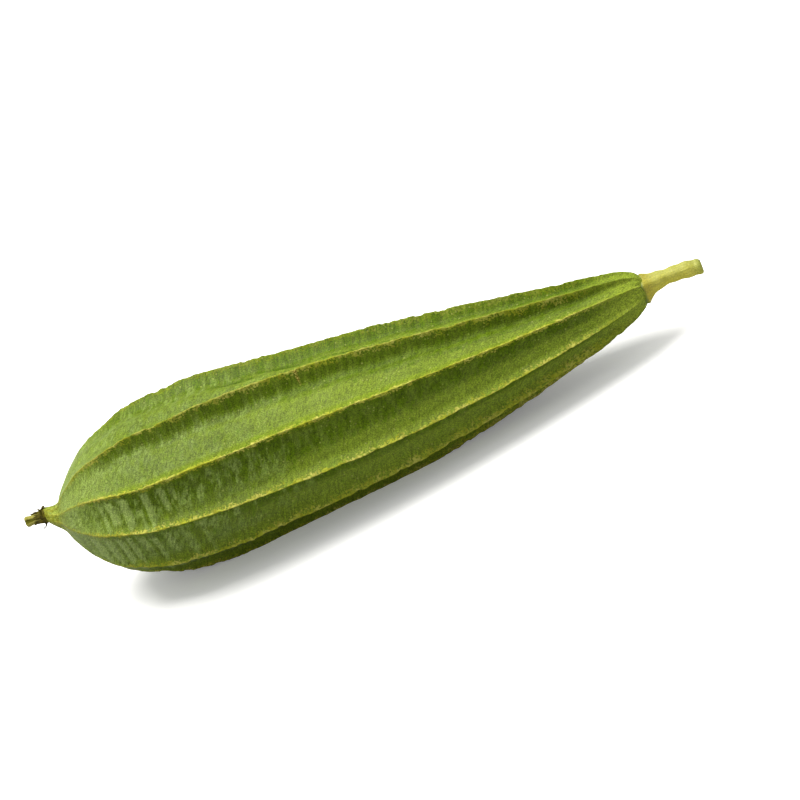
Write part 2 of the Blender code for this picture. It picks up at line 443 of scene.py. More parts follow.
def srgb(red, green, blue):
    """A colour as seen on a screen, from 0 to 255, in linear light."""
    shares = (red / 255, green / 255, blue / 255)
    return (*(c / 12.92 if c < 0.04045 else ((c + 0.055) / 1.055) ** 2.4 for c in shares), 1.0)


def add(tree, kind, inputs=None, **settings):
    """A new node with these settings. Each input is a constant or a socket to link from."""
    made = tree.nodes.new("ShaderNode" + kind)
    for name, value in settings.items():
        setattr(made, name, value)
    for name, value in (inputs or {}).items():
        if isinstance(value, bpy.types.NodeSocket):
            tree.links.new(value, made.inputs[name])
        else:
            made.inputs[name].default_value = value
    return made


def combine(tree, operation, first, second=0.0, clamp=False):
    return add(tree, "Math", {0: first, 1: second}, operation=operation, use_clamp=clamp).outputs[0]


def times(tree, first, second, clamp=False):
    return combine(tree, "MULTIPLY", first, second, clamp)


def step_up(tree, value, low, high, bottom=0.0, top=1.0):
    """A smooth step of the value between low and high, from bottom to top."""
    inputs = {"Value": value, "From Min": low, "From Max": high, "To Min": bottom, "To Max": top}
    return add(tree, "MapRange", inputs, interpolation_type="SMOOTHSTEP").outputs[0]


def tint(tree, share, under, over, blend="MIX"):
    """Colours laid over one another by a share from 0 to 1."""
    return add(tree, "Mix", {0: share, 6: under, 7: over}, data_type="RGBA", blend_type=blend).outputs[2]


def shaded(tree, light, colour):
    """The colour made lighter or darker by a share of it."""
    grey = add(tree, "CombineColor", {"Red": light, "Green": light, "Blue": light}).outputs[0]
    return tint(tree, 1.0, colour, grey, "MULTIPLY")


def group_tree(name, inputs, outputs):
    """An empty node group with named inputs, as (name, kind, value), and named outputs."""
    tree = bpy.data.node_groups.new(name, "ShaderNodeTree")
    for title, kind, value in inputs:
        socket = tree.interface.new_socket(title, in_out="INPUT", socket_type="NodeSocket" + kind)
        if value is not None:
            socket.default_value = value
    for title, kind in outputs:
        tree.interface.new_socket(title, in_out="OUTPUT", socket_type="NodeSocket" + kind)
    return tree, tree.nodes.new("NodeGroupInput").outputs, tree.nodes.new("NodeGroupOutput").inputs


def use(tree, group, inputs):
    return add(tree, "Group", inputs, node_tree=group).outputs


def cloud(tree, vector, scale, detail, **more):
    """Soft noise, from 0 to 1."""
    inputs = {"Vector": vector, "Scale": scale, "Detail": detail, **more}
    return add(tree, "TexNoise", inputs).outputs["Fac"]


def make_mottle():
    """Cloudy patches of a given size, from 0 to 1."""
    tree, given, out = group_tree(
        "plant_mottle",
        (("Vector", "Vector", None), ("Size", "Float", 0.01), ("Hardness", "Float", 0.5)),
        (("Patches", "Float"),),
    )
    scale = combine(tree, "DIVIDE", 1.0, given["Size"])
    edge = times(tree, combine(tree, "SUBTRACT", 1.0, given["Hardness"]), 0.3)
    low = combine(tree, "SUBTRACT", 0.5, edge)
    high = combine(tree, "ADD", 0.5, edge)
    tree.links.new(step_up(tree, cloud(tree, given["Vector"], scale, 3.0), low, high), out["Patches"])
    return tree


def make_streaks():
    """Fine streaks across the way that the skin runs: narrow along it and long round it."""
    tree, given, out = group_tree(
        "drawn_streaks",
        (
            ("Way", "Vector", None),
            ("Width", "Float", 0.001),
            ("Length", "Float", 0.006),
            ("Slant", "Float", 0.4),
        ),
        (("Streaks", "Float"),),
    )
    apart = add(tree, "SeparateXYZ", {"Vector": given["Way"]}).outputs
    slanted = combine(tree, "ADD", apart["X"], times(tree, apart["Y"], given["Slant"]))
    inputs = {
        "X": combine(tree, "DIVIDE", slanted, given["Width"]),
        "Y": combine(tree, "DIVIDE", apart["Y"], given["Length"]),
        "Z": apart["Z"],
    }
    drawn = add(tree, "CombineXYZ", inputs).outputs[0]
    mist = cloud(tree, drawn, 1.0, 2.0, Roughness=0.6)
    tree.links.new(step_up(tree, mist, 0.36, 0.64), out["Streaks"])
    return tree


def make_specks():
    """Small round specks, a few of them left out at random."""
    tree, given, out = group_tree(
        "fine_specks",
        (
            ("Vector", "Vector", None),
            ("Spacing", "Float", 0.003),
            ("Size", "Float", 0.12),
            ("Left out", "Float", 0.4),
        ),
        (("Specks", "Float"),),
    )
    scale = combine(tree, "DIVIDE", 1.0, given["Spacing"])
    cells = add(tree, "TexVoronoi", {"Vector": given["Vector"], "Scale": scale})
    draw = add(tree, "SeparateColor", {"Color": cells.outputs["Color"]}).outputs
    reach = times(tree, given["Size"], combine(tree, "ADD", draw["Green"], 0.5))
    far = combine(tree, "DIVIDE", cells.outputs["Distance"], reach)
    dot = combine(tree, "SUBTRACT", 1.0, far, clamp=True)
    kept = combine(tree, "GREATER_THAN", draw["Red"], given["Left out"])
    tree.links.new(times(tree, step_up(tree, dot, 0.0, 0.6), kept), out["Specks"])
    return tree


def make_corky_line():
    """A ragged line on the crests, from the distance to the nearest one, with darker flecks on it."""
    tree, given, out = group_tree(
        "corky_line",
        (("Vector", "Vector", None), ("Distance", "Float", 1.0), ("Width", "Float", 0.7)),
        (("Line", "Float"), ("Flecks", "Float")),
    )
    ragged = cloud(tree, given["Vector"], 1300.0, 3.0)
    broken = cloud(tree, given["Vector"], 230.0, 3.0)
    patchy = cloud(tree, given["Vector"], 760.0, 4.0)
    swell = times(tree, given["Width"], step_up(tree, ragged, 0.36, 0.64, 0.15, 1.55))
    swell = times(tree, swell, step_up(tree, broken, 0.34, 0.58, 0.35, 1.10))
    line = step_up(tree, given["Distance"], swell, times(tree, swell, 0.45))
    tree.links.new(line, out["Line"])
    tree.links.new(step_up(tree, patchy, 0.45, 0.57), out["Flecks"])
    return tree


def make_grain():
    """The height of a fine living skin: tiny cells and soft pits."""
    inputs = (("Vector", "Vector", None), ("Size", "Float", 0.0006))
    tree, given, out = group_tree("skin_grain", inputs, (("Height", "Float"),))
    scale = combine(tree, "DIVIDE", 1.0, given["Size"])
    cells = cloud(tree, given["Vector"], scale, 3.0)
    pits = cloud(tree, given["Vector"], times(tree, scale, 0.3), 2.0)
    both = combine(tree, "ADD", cells, times(tree, pits, 1.2))
    tree.links.new(both, out["Height"])
    return tree


PLANT_MOTTLE = make_mottle()
DRAWN_STREAKS = make_streaks()
FINE_SPECKS = make_specks()
CORKY_LINE = make_corky_line()
SKIN_GRAIN = make_grain()

LEAF_GREEN = srgb(91, 109, 22)
BRIGHT_GREEN = srgb(98, 115, 27)
# Painted light and shade among these: a grey sheen, a shade green that also serves the dark pores, a
# crease shade, a fold light, and the sunny and lit greens.
SHEEN_GREY_GREEN = srgb(97, 114, 46)
SHADE_AND_PORE_GREEN = srgb(72, 93, 0)
CREASE_SHADE_GREEN = srgb(62, 84, 4)
FOLD_LIGHT_GREEN = srgb(130, 148, 80)
SUNNY_GREEN = srgb(106, 122, 22)
LIT_GREEN = srgb(116, 134, 36)
PALE_END = srgb(124, 141, 68)
SHOULDER_GREEN = srgb(122, 138, 40)
BEAK_GREEN = srgb(114, 116, 18)
BEAK_PALE = srgb(128, 138, 48)
CORK = srgb(180, 176, 84)
CORK_GOLD = srgb(156, 160, 44)
CORK_OCHRE = srgb(150, 134, 40)
CORK_DARK = srgb(110, 108, 14)
SPECK = srgb(152, 158, 84)
SCAB = srgb(94, 84, 12)
SCAB_PALE = srgb(192, 180, 92)


def new_finish(name):
    finish = bpy.data.materials.new(name)
    finish.use_nodes = True
    tree = finish.node_tree
    return finish, tree, tree.nodes["Principled BSDF"]


def known(tree, name, output="Fac"):
    """A value or a vector that is stored on the mesh."""
    return add(tree, "Attribute", attribute_name=name).outputs[output]


def mottled(tree, vector, size, hardness):
    inputs = {"Vector": vector, "Size": size, "Hardness": hardness}
    return use(tree, PLANT_MOTTLE, inputs)["Patches"]


def dress(tree, surface, colour, roughness, height, strength, depth):
    """Gives a surface its colour, its roughness and its fine relief."""
    bump = add(tree, "Bump", {"Height": height, "Strength": strength, "Distance": depth})
    tree.links.new(colour, surface.inputs["Base Color"])
    tree.links.new(roughness, surface.inputs["Roughness"])
    tree.links.new(bump.outputs["Normal"], surface.inputs["Normal"])


def skin_signs(tree):
    """All that the skin's colours go by: the values stored on its mesh, and patterns of each size."""
    stored = ("nearness", "fold", "fold_zone", "lee", "lee_depth", "share", "pinch", "cork", "scar")
    signs = SimpleNamespace(**{name: known(tree, name) for name in stored})
    signs.place = add(tree, "TexCoord").outputs["Object"]
    signs.clouds = mottled(tree, signs.place, 0.012, 0.0)
    signs.bloom = mottled(tree, signs.place, 0.0055, 0.2)
    signs.grain = mottled(tree, signs.place, 0.0013, 0.2)
    signs.dust = mottled(tree, signs.place, 0.00042, 0.3)
    way = known(tree, "skin_way", "Vector")
    signs.blots = mottled(tree, way, 0.0032, 0.1)
    narrow = {"Way": way, "Width": 0.0010, "Length": 0.0050}
    signs.streaks = use(tree, DRAWN_STREAKS, narrow)["Streaks"]
    wide = {"Way": way, "Width": 0.0032, "Length": 0.014, "Slant": 0.15}
    signs.bars = use(tree, DRAWN_STREAKS, wide)["Streaks"]
    gap = known(tree, "crest_gap")
    signs.crest = use(tree, CORKY_LINE, {"Vector": signs.place, "Distance": gap, "Width": 1.15})
    signs.groove = step_up(tree, signs.nearness, 1.0, 0.55)  # 1 well inside a groove
    ragged = times(tree, combine(tree, "SUBTRACT", signs.streaks, 0.5), 0.5)
    blotchy = times(tree, combine(tree, "SUBTRACT", signs.blots, 0.5), 0.8)
    signs.torn = combine(tree, "ADD", ragged, blotchy)  # frays the edges of the larger marks
    return signs


def plain_greens(tree, signs):
    """Clouded green, greyer in the grooves with painted sheen, brighter with painted light on the lit
    side of each crest, and palest at the beak.
    """
    colour = tint(tree, signs.clouds, LEAF_GREEN, BRIGHT_GREEN)
    # painted sheen: grey-green patches in the grooves, strongest towards the blossom end
    greyer = combine(tree, "ADD", signs.bloom, times(tree, step_up(tree, signs.bars, 1.0, 0.0), 0.4))
    greyness = times(tree, signs.groove, step_up(tree, signs.share, 0.25, 0.50, 0.75, 0.35))
    colour = tint(tree, times(tree, greyer, greyness, clamp=True), colour, SHEEN_GREY_GREEN)
    # painted light: a yellower strip close beside each crest, on the side away from the painted shade
    sunny = times(tree, step_up(tree, signs.nearness, 0.55, 0.90), step_up(tree, signs.lee, 0.2, -0.4))
    colour = tint(tree, times(tree, sunny, 0.35), colour, SUNNY_GREEN)
    # painted light: a paler green over the side of each groove away from the painted shade, from the
    # belly to the neck
    away = step_up(tree, signs.lee, 0.0, -0.35, 0.0, 0.5)
    colour = tint(tree, times(tree, away, step_up(tree, signs.share, 0.28, 0.50)), colour, LIT_GREEN)
    return tint(tree, step_up(tree, signs.share, 0.17, 0.03, 0.0, 0.8), colour, PALE_END)


def painted_shade_and_light(tree, signs, colour):
    """Painted shade beside each crest, painted light on the pleats and faint bars that break it, and
    painted shade in the furrows between the folds and along the creases.
    """
    # painted shade beside each crest, with frayed edges and weaker where pale bars cross it
    deep = step_up(tree, combine(tree, "ADD", signs.lee, signs.torn), -0.25, 0.35)
    deep = times(tree, deep, step_up(tree, signs.share, 0.28, 0.46, 0.75, 0.95))
    deep = times(tree, deep, signs.lee_depth)
    deep = times(tree, deep, step_up(tree, signs.bars, 0.0, 1.0, 0.45, 1.12))
    # pleats: painted light on the tops of the folds, which also breaks the painted shade
    drawn = combine(tree, "ADD", signs.fold, times(tree, signs.torn, 0.60))
    pleat = times(tree, step_up(tree, drawn, 0.05, 1.0), step_up(tree, signs.fold_zone, 0.02, 0.35))
    between = combine(tree, "SUBTRACT", 1.0, pleat, clamp=True)
    colour = tint(tree, times(tree, deep, between), colour, SHADE_AND_PORE_GREEN)
    # painted shade in the furrows between the folds
    furrow = times(tree, between, times(tree, signs.fold_zone, 0.50))
    colour = tint(tree, furrow, colour, SHADE_AND_PORE_GREEN)
    colour = tint(tree, times(tree, pleat, 0.68), colour, FOLD_LIGHT_GREEN)
    # painted light: faint pale bars across the grooves towards the blossom end, strongest inside the
    # painted shade
    faint = combine(tree, "SUBTRACT", step_up(tree, signs.bars, 1.0, 0.0), 0.35, clamp=True)
    faint = times(tree, faint, times(tree, signs.groove, step_up(tree, signs.share, 0.52, 0.28)))
    faint = times(tree, faint, step_up(tree, signs.lee, -0.6, 0.3, 0.35, 1.0))
    faint = times(tree, faint, step_up(tree, signs.torn, -0.30, 0.10))
    colour = tint(tree, times(tree, faint, 0.75), colour, FOLD_LIGHT_GREEN)
    # painted shade along the long creases
    crease = step_up(tree, combine(tree, "ADD", signs.pinch, signs.torn), 0.1, 0.7)
    return tint(tree, times(tree, crease, 0.8), colour, CREASE_SHADE_GREEN)


def both_ends(tree, signs, colour):
    beak = tint(tree, step_up(tree, signs.grain, 0.2, 0.8), BEAK_GREEN, BEAK_PALE)
    colour = tint(tree, step_up(tree, signs.share, 0.050, 0.005, 0.0, 0.85), colour, beak)
    return tint(tree, step_up(tree, signs.share, 0.89, 0.98, 0.0, 0.85), colour, SHOULDER_GREEN)


def grain_and_specks(tree, signs, colour):
    """Light and dark of the grain, over and over at finer sizes, then dark pores and pale specks."""
    light = step_up(tree, signs.streaks, 0.0, 1.0, 0.82, 1.14)
    light = times(tree, light, step_up(tree, signs.grain, 0.0, 1.0, 0.93, 1.06))
    light = times(tree, light, step_up(tree, signs.blots, 0.0, 1.0, 0.91, 1.09))
    light = times(tree, light, step_up(tree, signs.dust, 0.0, 1.0, 0.64, 1.32))
    colour = shaded(tree, light, colour)
    kinds = ((0.0019, 0.5, 0.45, SHADE_AND_PORE_GREEN), (0.0017, 0.55, 0.50, SPECK))
    for spacing, left_out, share, shade in kinds:
        inputs = {"Vector": signs.place, "Spacing": spacing, "Size": 0.20, "Left out": left_out}
        specks = use(tree, FINE_SPECKS, inputs)["Specks"]
        colour = tint(tree, times(tree, specks, share), colour, shade)
    return colour


def cork_and_scar(tree, signs, colour):
    cloudy = combine(tree, "ADD", signs.bloom, signs.clouds)
    cork = tint(tree, step_up(tree, cloudy, 0.5, 1.5), CORK, CORK_GOLD)
    cork = tint(tree, step_up(tree, signs.share, 0.20, 0.04, 0.0, 0.7), cork, CORK_OCHRE)
    cork = tint(tree, times(tree, signs.crest["Flecks"], 0.58), cork, CORK_DARK)
    grown = step_up(tree, signs.share, 0.03, 0.16, 0.30, 0.9)
    grown = times(tree, grown, step_up(tree, signs.share, 0.97, 0.86, 0.15, 1.0))
    grown = times(tree, grown, signs.cork)
    colour = tint(tree, times(tree, signs.crest["Line"], grown), colour, cork)
    scab = tint(tree, step_up(tree, signs.dust, 0.35, 0.75), SCAB, SCAB_PALE)
    crusted = step_up(tree, signs.grain, 0.2, 0.8, 0.3, 1.0)
    return tint(tree, times(tree, step_up(tree, signs.scar, 0.25, 0.7), crusted), colour, scab)


def skin_finish():
    finish, tree, surface = new_finish("gourd_skin")
    signs = skin_signs(tree)
    colour = plain_greens(tree, signs)
    for layer in (painted_shade_and_light, both_ends, grain_and_specks, cork_and_scar):
        colour = layer(tree, signs, colour)
    gloss = step_up(tree, signs.clouds, 0.0, 1.0, 0.48, 0.58)
    rough = combine(tree, "ADD", gloss, times(tree, signs.crest["Line"], 0.2))
    height = use(tree, SKIN_GRAIN, {"Vector": signs.place, "Size": 0.0007})["Height"]
    lines = combine(tree, "ADD", height, times(tree, signs.streaks, 0.2))
    dress(tree, surface, colour, rough, lines, 0.5, 0.00010)
    surface.inputs["Specular IOR Level"].default_value = 0.09
    surface.inputs["Subsurface Weight"].default_value = 0.05
    surface.inputs["Subsurface Radius"].default_value = (0.6, 1.0, 0.25)
    surface.inputs["Subsurface Scale"].default_value = 0.0015
    return finish


fruit_skin = make_skin()
fruit_skin.data.materials.append(skin_finish())
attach(fruit_skin, "root")
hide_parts("fruit")

# ---------------------------------------------------------------------------------------------
# Stem: the stalk that the fruit hung from. It is tough and fibrous, with five soft ribs that run
# down into the shoulder and flare there, lowest on the underside. It was cut straight across, which
# bares a pale pith in a ring of darker strands.

STEM_LENGTH = 0.0230
STEM_RADIUS = 0.00305
STEM_SIDES = 90
STEM_STATIONS = 150
STEM_ROOT = 0.0022  # how deep its foot is sunk in the fruit's shoulder
STEM_ARCH = 0.0009
STEM_DROOP = 0.0004
STEM_RIBS = 5
RIB_HEIGHT = 0.03  # as a share of the radius, as are the next two
FOOT_RIB_HEIGHT = 0.10
FIBRE_HEIGHTS = (0.012, 0.008)
FLARE = 0.0017
FLARE_BELOW = 0.0016  # how much further the foot spreads on the underside
RIM_START = 0.955  # share of the length where the cut rim rounds over
RIM_ROUNDING = 0.0008
RIM_SWELL = 0.0002
CUT_DISH = 0.00035  # how deep the cut face has dried hollow
CUT_RINGS = (0.92, 0.80, 0.66, 0.52, 0.38, 0.22, 0.08)  # rings of the cut face, by their radius
BUNDLES = 10  # the strands that show as a ring of spots on it
BUNDLE_RING = 0.66
BUNDLE_SPREAD = 0.14
BUNDLE_HEIGHT = 0.00010

STALK = srgb(158, 156, 50)
STALK_PALE = srgb(163, 161, 74)
# painted light: a bright ochre for the underside, lighter than its shade would leave it
STALK_OCHRE_PAINTED_LIGHT = srgb(204, 194, 34)
STALK_GREEN = srgb(130, 140, 42)
STALK_BASE = srgb(154, 140, 12)
STALK_PITH = srgb(196, 198, 132)
STALK_DRY = srgb(120, 104, 48)


def rings_round(seat, along, radius, angle, lift=0.0):
    """Rings of points round a line out from the seat: how far along it, and how far from it."""
    across = (seat[1] + radius * np.cos(angle), seat[2] + lift + radius * np.sin(angle))
    return np.stack([seat[0] + along + 0 * angle, *across], axis=-1)


def crumpled(rings, angle, amount, size, seed):
    """The same rings, swollen and sunk by soft noise."""
    wobble = amount * soft_noise(rings, size, seed)
    rings[..., 1] += wobble * np.cos(angle)
    rings[..., 2] += wobble * np.sin(angle)
    return rings


def round_angles(sides):
    return (np.arange(sides) * math.tau / sides)[None, :]


def stem_surface():
    share = np.linspace(0, 1, STEM_STATIONS)[:, None]
    angle = round_angles(STEM_SIDES)
    out = np.clip((share * (STEM_LENGTH + STEM_ROOT) - STEM_ROOT) / STEM_LENGTH, -0.1, 1)
    shown = np.clip(out, 0, 1)
    low_side = 0.5 - 0.5 * np.sin(angle)  # 1 underneath
    flare = (FLARE + FLARE_BELOW * low_side) * (1 - shown) ** (6 + 3 * low_side)
    ribs = RIB_HEIGHT * np.cos(STEM_RIBS * angle + 0.5)
    foot_ribs = FOOT_RIB_HEIGHT * (1 - shown) ** 4 * np.cos(STEM_RIBS * angle)
    coarse, fine = FIBRE_HEIGHTS
    fibres = coarse * np.cos(31 * angle + 4 * out) + fine * np.cos(17 * angle + 1.0)
    radius = (STEM_RADIUS + flare) * (1 + ribs + foot_ribs + fibres)
    waist = 0.00016 * np.sin(math.tau * 1.7 * out) + 0.00012 * np.sin(math.tau * 4.1 * out + 1)
    rim = np.clip((out - RIM_START) / (1 - RIM_START), 0, 1)
    swell = RIM_SWELL * np.exp(-(((out - 0.93) / 0.03) ** 2))
    radius = radius + waist + swell - RIM_ROUNDING * rim**2.2
    lift = STEM_ARCH * np.sin(math.pi * shown) - STEM_DROOP * shown**3
    rings = rings_round(axis_points(1.0), out * STEM_LENGTH, radius, angle, lift)
    rings = crumpled(rings, angle, 0.00012, 0.004, 21)
    middle = rings[-1].mean(axis=0)
    cut = []
    bundles = []
    for reach in CUT_RINGS:
        ring = middle + (rings[-1] - middle) * reach
        spot = (0.5 + 0.5 * np.cos(BUNDLES * angle[0])) ** 2
        spot = spot * math.exp(-(((reach - BUNDLE_RING) / BUNDLE_SPREAD) ** 2))
        ring[:, 0] += BUNDLE_HEIGHT * spot - CUT_DISH * (1 - reach)
        cut.append(ring)
        bundles.append(spot)
    rings = np.concatenate([rings, cut])
    sides = np.zeros((STEM_STATIONS, STEM_SIDES))
    face = sides[: len(CUT_RINGS)]
    marks = {
        "outward": np.concatenate([out + sides, face + 1]),
        "underside": np.concatenate([low_side + sides, face]),
        "cut": np.concatenate([sides, 1.1 - np.array(CUT_RINGS)[:, None] + face]),
        "bundle": np.concatenate([sides, bundles]),
    }
    return turned(rings) + FRUIT_PLACE, marks


def fibre_group():
    """Long fibres along a stalk, from its own lengthwise and roundabout coordinates."""
    tree, given, out = group_tree(
        "stalk_fibres",
        (("Way", "Vector", None), ("Width", "Float", 0.0004), ("Length", "Float", 0.012)),
        (("Fibres", "Float"),),
    )
    apart = add(tree, "SeparateXYZ", {"Vector": given["Way"]}).outputs
    inputs = {
        "X": combine(tree, "DIVIDE", apart["X"], given["Length"]),
        "Y": combine(tree, "DIVIDE", apart["Y"], given["Width"]),
        "Z": combine(tree, "DIVIDE", apart["Z"], given["Width"]),
    }
    drawn = add(tree, "CombineXYZ", inputs).outputs[0]
    tree.links.new(step_up(tree, cloud(tree, drawn, 1.0, 3.0), 0.35, 0.65), out["Fibres"])
    return tree


STALK_FIBRES = fibre_group()


def stalk_finish():
    finish, tree, surface = new_finish("stalk")
    place = add(tree, "TexCoord").outputs["Object"]
    out = known(tree, "outward")
    cut = known(tree, "cut")
    fibres = use(tree, STALK_FIBRES, {"Way": place, "Width": 0.00045, "Length": 0.010})["Fibres"]
    layers = (  # where each colour lies, over the ones before it
        # the underside: ochre, painted brighter as painted light against its shade
        (times(tree, known(tree, "underside"), 0.90), STALK_OCHRE_PAINTED_LIGHT),
        (step_up(tree, out, 0.24, 0.0, 0.0, 0.75), STALK_BASE),
        (step_up(tree, out, 0.80, 1.0, 0.0, 0.55), STALK_GREEN),
        (step_up(tree, out, 0.02, -0.05), LEAF_GREEN),
        (times(tree, fibres, 0.25), STALK_GREEN),
        (step_up(tree, cut, 0.12, 0.30), STALK_PITH),
        (times(tree, known(tree, "bundle"), 0.8), STALK_DRY),
        (step_up(tree, cut, 0.85, 1.0, 0.0, 0.6), STALK_DRY),
    )
    colour = tint(tree, mottled(tree, place, 0.004, 0.2), STALK, STALK_PALE)
    for share, over in layers:
        colour = tint(tree, share, colour, over)
    dust = mottled(tree, place, 0.00045, 0.3)
    colour = shaded(tree, step_up(tree, dust, 0.0, 1.0, 0.84, 1.13), colour)
    rough = step_up(tree, fibres, 0.0, 1.0, 0.50, 0.64)
    dress(tree, surface, colour, rough, fibres, 0.6, 0.0002)
    surface.inputs["Subsurface Weight"].default_value = 0.15
    surface.inputs["Subsurface Radius"].default_value = (1.0, 0.9, 0.3)
    surface.inputs["Subsurface Scale"].default_value = 0.0015
    return finish


stem_rings, stem_marks = stem_surface()
stalk = sheathed("stalk", stem_rings)
for name, values in stem_marks.items():
    mark(stalk, name, values)
stalk.data.materials.append(stalk_finish())
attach(stalk, "root")
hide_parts("stem")

# ---------------------------------------------------------------------------------------------
# Flower remnant: what the flower left when it fell. A pale, blunt stub of the style, split at its
# tip, stands in the dry brown cup of the calyx, which has a torn lip, four curled lobes and a few
# threads of the old filaments. All of it grows out of the beak.

REMNANT_LENGTH = 0.0090
STUB_SIDES = 48
STUB_STATIONS = 60
STUB_OUTLINE = (  # share of the length out from the fruit, radius
    (-0.25, 0.0014),
    (0.00, 0.0020),
    (0.30, 0.0019),
    (0.50, 0.0017),
    (0.75, 0.0018),
    (0.92, 0.0021),
    (0.98, 0.0020),
    (1.00, 0.0013),
)
SPLITS = (math.radians(150), math.radians(-15))  # where the tip of the stub has split open
SPLIT_WIDTH = 0.42  # in radians
SPLIT_DEPTH = 0.22  # as a share of the radius
COLLAR_OUTLINE = (  # share of the length out from the fruit, radius
    (-0.22, 0.0022),
    (-0.05, 0.0029),
    (0.06, 0.0031),
    (0.25, 0.0027),
    (0.45, 0.0023),
    (0.75, 0.0024),
)
COLLAR_SIDES = 72
COLLAR_STATIONS = 26  # on each of its two faces
COLLAR_WALL = 0.00028
COLLAR_TEETH = 5  # the stumps of the calyx lobes
LOBES = (  # turn in degrees, length, curl, twist, how far it bends back to the fruit
    (62, 0.0034, 1.1, 0.4, 0.9),
    (128, 0.0036, 0.7, -0.5, -0.4),
    (222, 0.0040, 1.0, 0.5, -0.9),
    (310, 0.0042, 0.8, -0.3, -0.5),
)
BLADE_ROWS = 16
BLADE_COLUMNS = 8
BLADE_THICKNESS = 0.00030
THREADS = 4
THREAD_POINTS = 14
THREAD_RADIUS = 0.00011

STUB_CREAM = srgb(160, 154, 74)
STUB_OLIVE = srgb(92, 92, 10)
DRY_BROWN = srgb(58, 50, 8)
DRY_LIGHT = srgb(104, 98, 22)


def stub_surface():
    buried = STUB_OUTLINE[0][0]
    share = np.linspace(buried, 1, STUB_STATIONS)[:, None]
    angle = round_angles(STUB_SIDES)
    radius = through(STUB_OUTLINE, share[:, 0])[:, None]
    free = np.clip(share + 0.3, 0, 1)
    creases = 0.07 * np.cos(5 * angle + 3 * share) + 0.04 * np.cos(11 * angle - 5 * share)
    radius = radius * (1 + creases * free)
    split = np.zeros_like(radius)
    for turn in SPLITS:
        aside = (angle - turn + math.pi) % math.tau - math.pi
        opened = np.exp(-((aside / SPLIT_WIDTH) ** 2)) * smooth_step(0.40, 0.75, share)
        split = np.maximum(split, opened)
    radius = radius * (1 - SPLIT_DEPTH * split)
    lift = 0.0003 * np.clip(share, 0, 1) ** 2
    rings = rings_round(axis_points(0.0), -share * REMNANT_LENGTH, radius, angle, lift)
    rings = crumpled(rings, angle, 0.00022 * free, 0.0025, 31)
    return turned(rings[::-1]) + FRUIT_PLACE, split[::-1]


def collar_surface():
    """The calyx tube: a thin crumpled cup with a torn lip, its outer wall and then its inner one."""
    angle = round_angles(COLLAR_SIDES)
    teeth = np.abs(np.cos(0.5 * COLLAR_TEETH * angle + 0.6)) ** 1.5
    ragged = 0.10 * np.cos(7 * angle + 1) + 0.07 * np.cos(13 * angle + 2) + 0.05 * np.cos(29 * angle)
    lip = 0.34 + 0.24 * teeth + ragged
    outward = np.linspace(0, 1, COLLAR_STATIONS)[:, None]
    share = np.concatenate([-0.2 + (lip + 0.2) * outward, -0.12 + (lip + 0.11) * outward[::-1]])
    inner = np.repeat([0.0, 1.0], COLLAR_STATIONS)[:, None]
    radius = through(COLLAR_OUTLINE, share.ravel()).reshape(share.shape)
    lobed = 0.09 * np.cos(COLLAR_TEETH * angle + 1.2) + 0.05 * np.cos(9 * angle + 4 * share)
    radius = radius * (1 + lobed * smooth_step(-0.05, 0.3, share)) - COLLAR_WALL * inner
    rings = rings_round(axis_points(0.0), -share * REMNANT_LENGTH, radius, angle)
    rings = crumpled(rings, angle, 0.00038 * smooth_step(-0.1, 0.15, share), 0.0016, 33)
    return turned(rings[::-1]) + FRUIT_PLACE


def dry_finish(name, paleness):
    finish, tree, surface = new_finish(name)
    place = add(tree, "TexCoord").outputs["Object"]
    patches = mottled(tree, place, 0.0016, 0.5)
    fine = mottled(tree, place, 0.0005, 0.2)
    colour = tint(tree, times(tree, patches, paleness), DRY_BROWN, DRY_LIGHT)
    colour = tint(tree, times(tree, fine, 0.3), colour, DRY_BROWN)
    dress(tree, surface, colour, step_up(tree, patches, 0.0, 1.0, 0.65, 0.85), fine, 0.8, 0.00025)
    surface.inputs["Specular IOR Level"].default_value = 0.12
    return finish


def stub_finish():
    finish, tree, surface = new_finish("style_stub")
    place = add(tree, "TexCoord").outputs["Object"]
    patches = mottled(tree, place, 0.0014, 0.4)
    fibres = use(tree, STALK_FIBRES, {"Way": place, "Width": 0.0003, "Length": 0.004})["Fibres"]
    colour = tint(tree, times(tree, fibres, 0.45), STUB_CREAM, STUB_OLIVE)
    colour = tint(tree, step_up(tree, known(tree, "split"), 0.15, 0.6), colour, STUB_OLIVE)
    colour = tint(tree, times(tree, patches, 0.25), colour, DRY_BROWN)
    dress(tree, surface, colour, step_up(tree, patches, 0.0, 1.0, 0.60, 0.80), fibres, 0.7, 0.00018)
    surface.inputs["Specular IOR Level"].default_value = 0.15
    return finish


def lobe_surface(index):
    """One calyx lobe: a thin pointed blade that has curled and crumpled in drying."""
    turn, length, curl, twist, back = LOBES[index]
    roll = 1.6 * curl
    blade = np.zeros((BLADE_ROWS, BLADE_COLUMNS, 3))
    for i in range(BLADE_ROWS):
        along = i / (BLADE_ROWS - 1)
        bend = roll * along
        centre_out = 0.0022 + 0.9 * length * math.sin(bend) / roll
        centre_along = 0.15 * REMNANT_LENGTH - back * length * (1 - math.cos(bend)) / roll
        half = 0.0012 * (1 - along) ** 0.6 + 0.00015
        spin = math.radians(turn) + twist * along
        for k in range(BLADE_COLUMNS):
            across = 2 * k / (BLADE_COLUMNS - 1) - 1
            side = half * across
            out = centre_out + 0.0005 * across * across * (1 - along)
            y = out * math.cos(spin) - side * math.sin(spin)
            z = out * math.sin(spin) + side * math.cos(spin)
            blade[i, k] = (-centre_along, y, z)
    blade += 0.0003 * np.stack([soft_noise(blade, 0.0012, 40 + index * 3 + n) for n in range(3)], -1)
    return turned(blade + axis_points(0.0)) + FRUIT_PLACE


